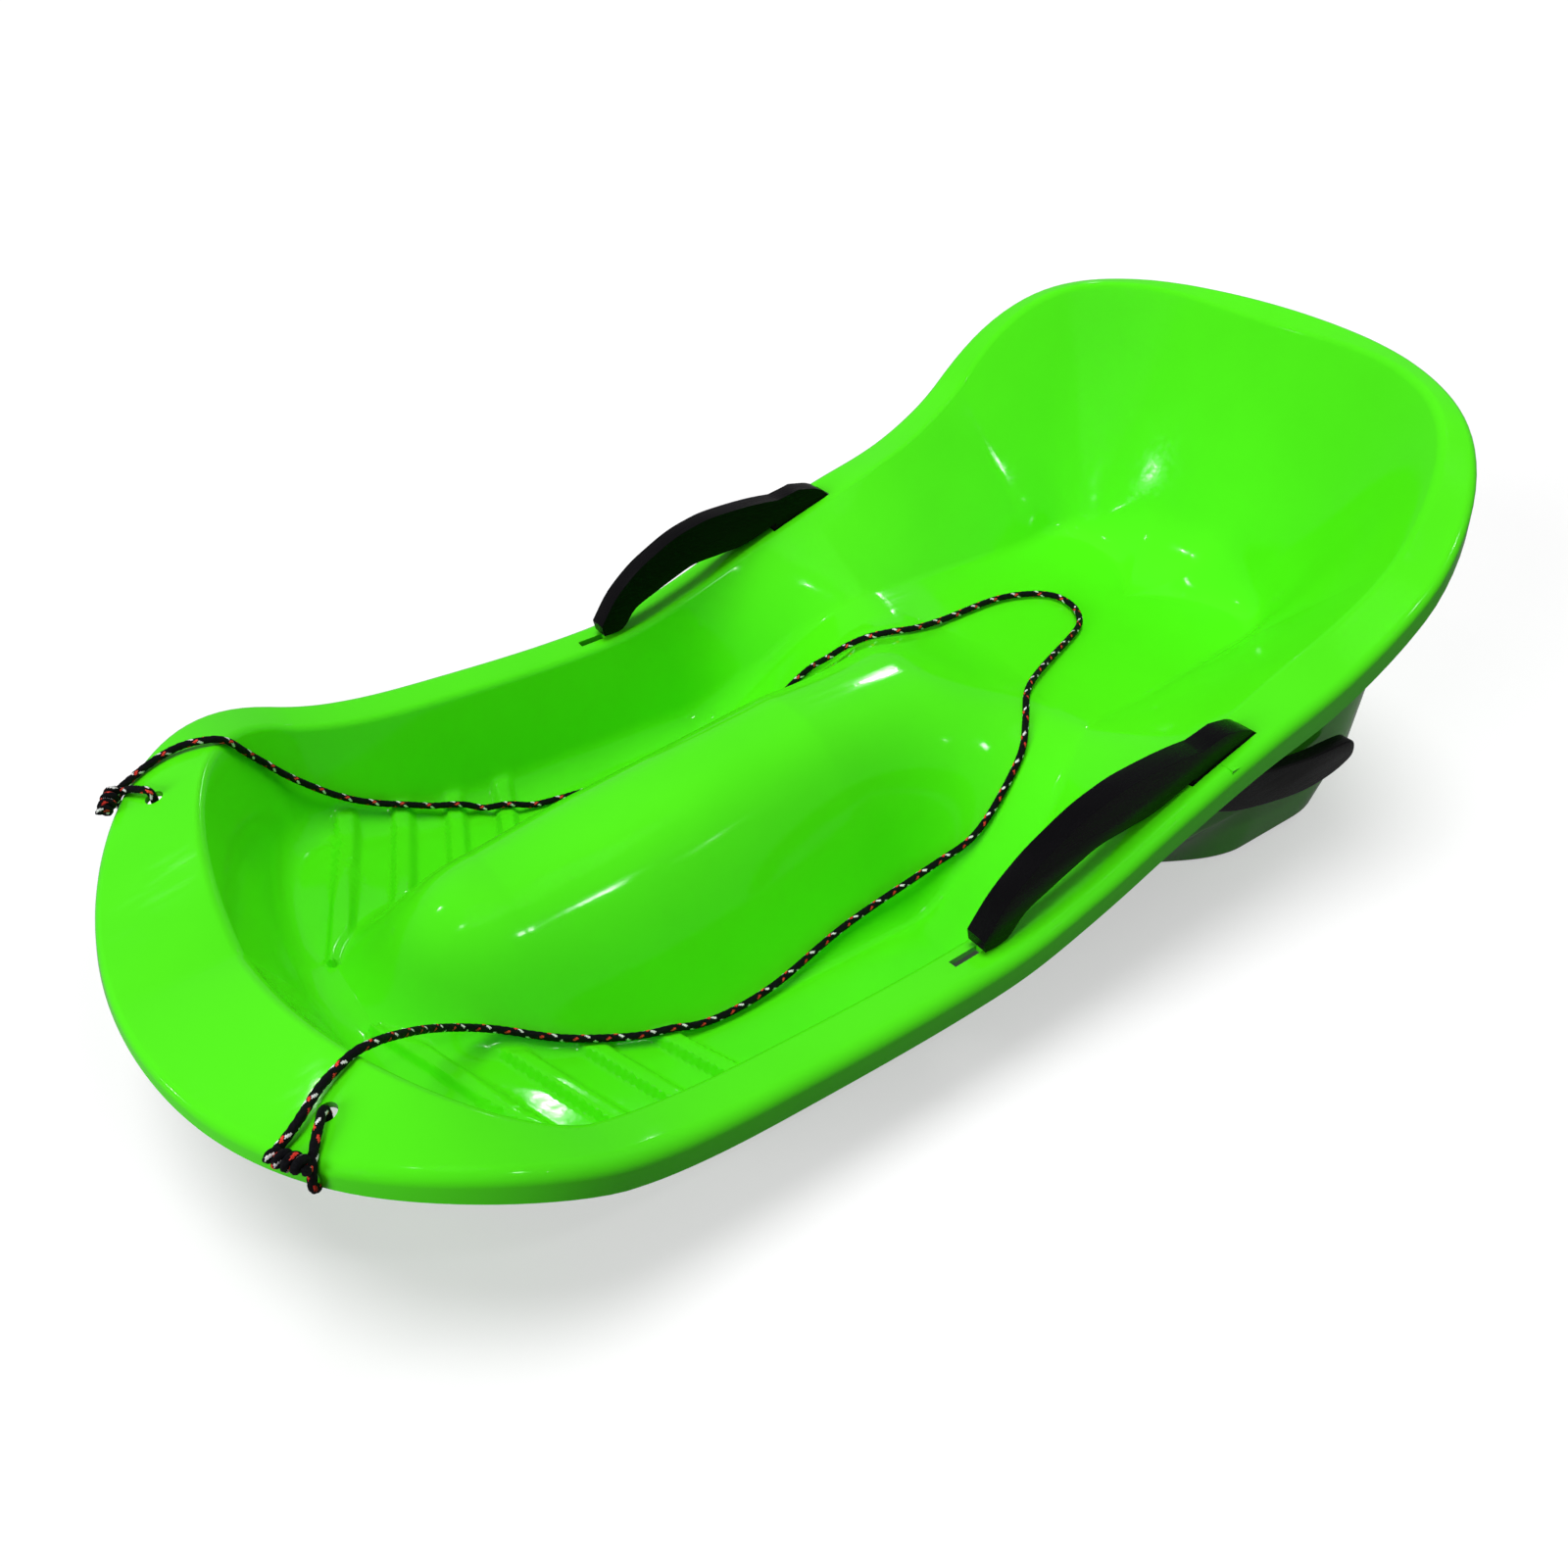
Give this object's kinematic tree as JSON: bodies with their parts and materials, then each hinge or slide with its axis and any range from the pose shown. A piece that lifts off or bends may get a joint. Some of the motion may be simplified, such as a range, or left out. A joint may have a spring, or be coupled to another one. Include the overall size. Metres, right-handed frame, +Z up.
{
  "type": "sled",
  "caption": "Moulded plastic snow sled with footwells, a raised seat with a high back, two hand brake levers on the rims and a pull rope tied to the nose.",
  "frame": {"origin": "on the ground under the middle of the sled, halfway along its length and width", "axes": "+X towards the pieces named right, which is the rider's left, +Y from the nose to the backrest, +Z up"},
  "size_m": [0.49, 0.926, 0.3269],
  "materials": {
    "hull_plastic": "glossy lime green moulded polyethylene",
    "lever_plastic": "satin black moulded plastic",
    "rope_cord": "black braided cord with red and white flecks",
    "pin_steel": "plain zinc plated steel"
  },
  "bodies": {
    "sled": {"hull": "hull_plastic", "pull_rope": "rope_cord", "pivot_pin_right": "pin_steel", "washer_right": "pin_steel", "clip_right": "pin_steel", "rope_knot_right": "rope_cord", "pivot_pin_left": "pin_steel", "washer_left": "pin_steel", "clip_left": "pin_steel", "rope_knot_left": "rope_cord"},
    "lever_right": {"brake_lever_right": "lever_plastic"},
    "lever_left": {"brake_lever_left": "lever_plastic"}
  },
  "joints": [
    {"name": "brake_right", "type": "hinge", "parent": "sled", "child": "lever_right", "pos_m": [0.222, 0.161, 0.1385], "axis": [-1, 0, 0], "range_deg": [0, 30]},
    {"name": "brake_left", "type": "hinge", "parent": "sled", "child": "lever_left", "pos_m": [-0.222, 0.161, 0.1385], "axis": [-1, 0, 0], "range_deg": [0, 30]}
  ]
}
